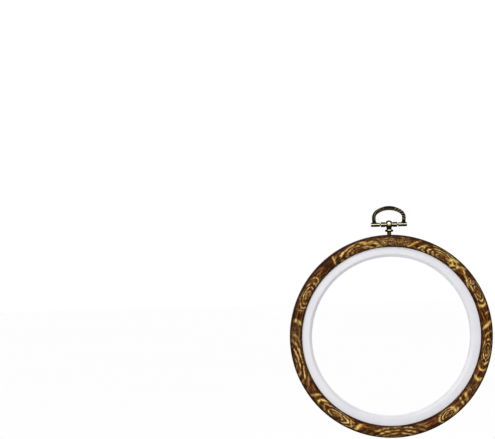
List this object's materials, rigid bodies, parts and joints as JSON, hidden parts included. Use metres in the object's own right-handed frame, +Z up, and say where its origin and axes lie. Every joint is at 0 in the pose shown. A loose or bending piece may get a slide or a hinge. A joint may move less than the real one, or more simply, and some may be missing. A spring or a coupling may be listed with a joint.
{
  "type": "embroidery hoop",
  "caption": "Round embroidery hoop: a flexible wood-effect outer hoop with a front lip, a rigid white inner hoop, and a brass hanger that swings on a pin.",
  "frame": {"origin": "inside of the hanger's arch at its top, where a nail carries the hoop", "axes": "+Z up through the hanger and the hoop's diameter, +Y out of the hoop's back, so the front faces -Y; +X along the hinge pin"},
  "size_m": [0.155, 0.0104, 0.177],
  "materials": {
    "wood_effect_vinyl": "polished dark brown vinyl with golden wood figure",
    "white_plastic": "smooth moulded, cool white",
    "antique_brass": "antiqued cast brass, dark in the recesses",
    "pin_brass": "drawn, lightly tarnished",
    "plated_steel": "bright plated"
  },
  "bodies": {
    "bail": {"hanger_bail": "antique_brass", "hinge_pin": "pin_brass"},
    "post": {"hanger_post": "antique_brass", "nut_washer": "plated_steel", "post_nut": "plated_steel"},
    "outer": {"outer_hoop": "wood_effect_vinyl"},
    "inner": {"inner_hoop": "white_plastic"}
  },
  "joints": [
    {"name": "hoop_swing", "type": "hinge", "parent": "bail", "child": "post", "pos_m": [0, 0, -0.01093], "axis": [1, 0, 0], "range_deg": [-120, 120]},
    {"name": "hanger_swivel", "type": "hinge", "parent": "post", "child": "outer", "pos_m": [0, 0, -0.01873], "axis": [0, 0, 1], "continuous": true},
    {"name": "inner_hoop_slide", "type": "slide", "parent": "outer", "child": "inner", "axis": [0, 1, 0], "range_m": [0, 0.012]}
  ]
}
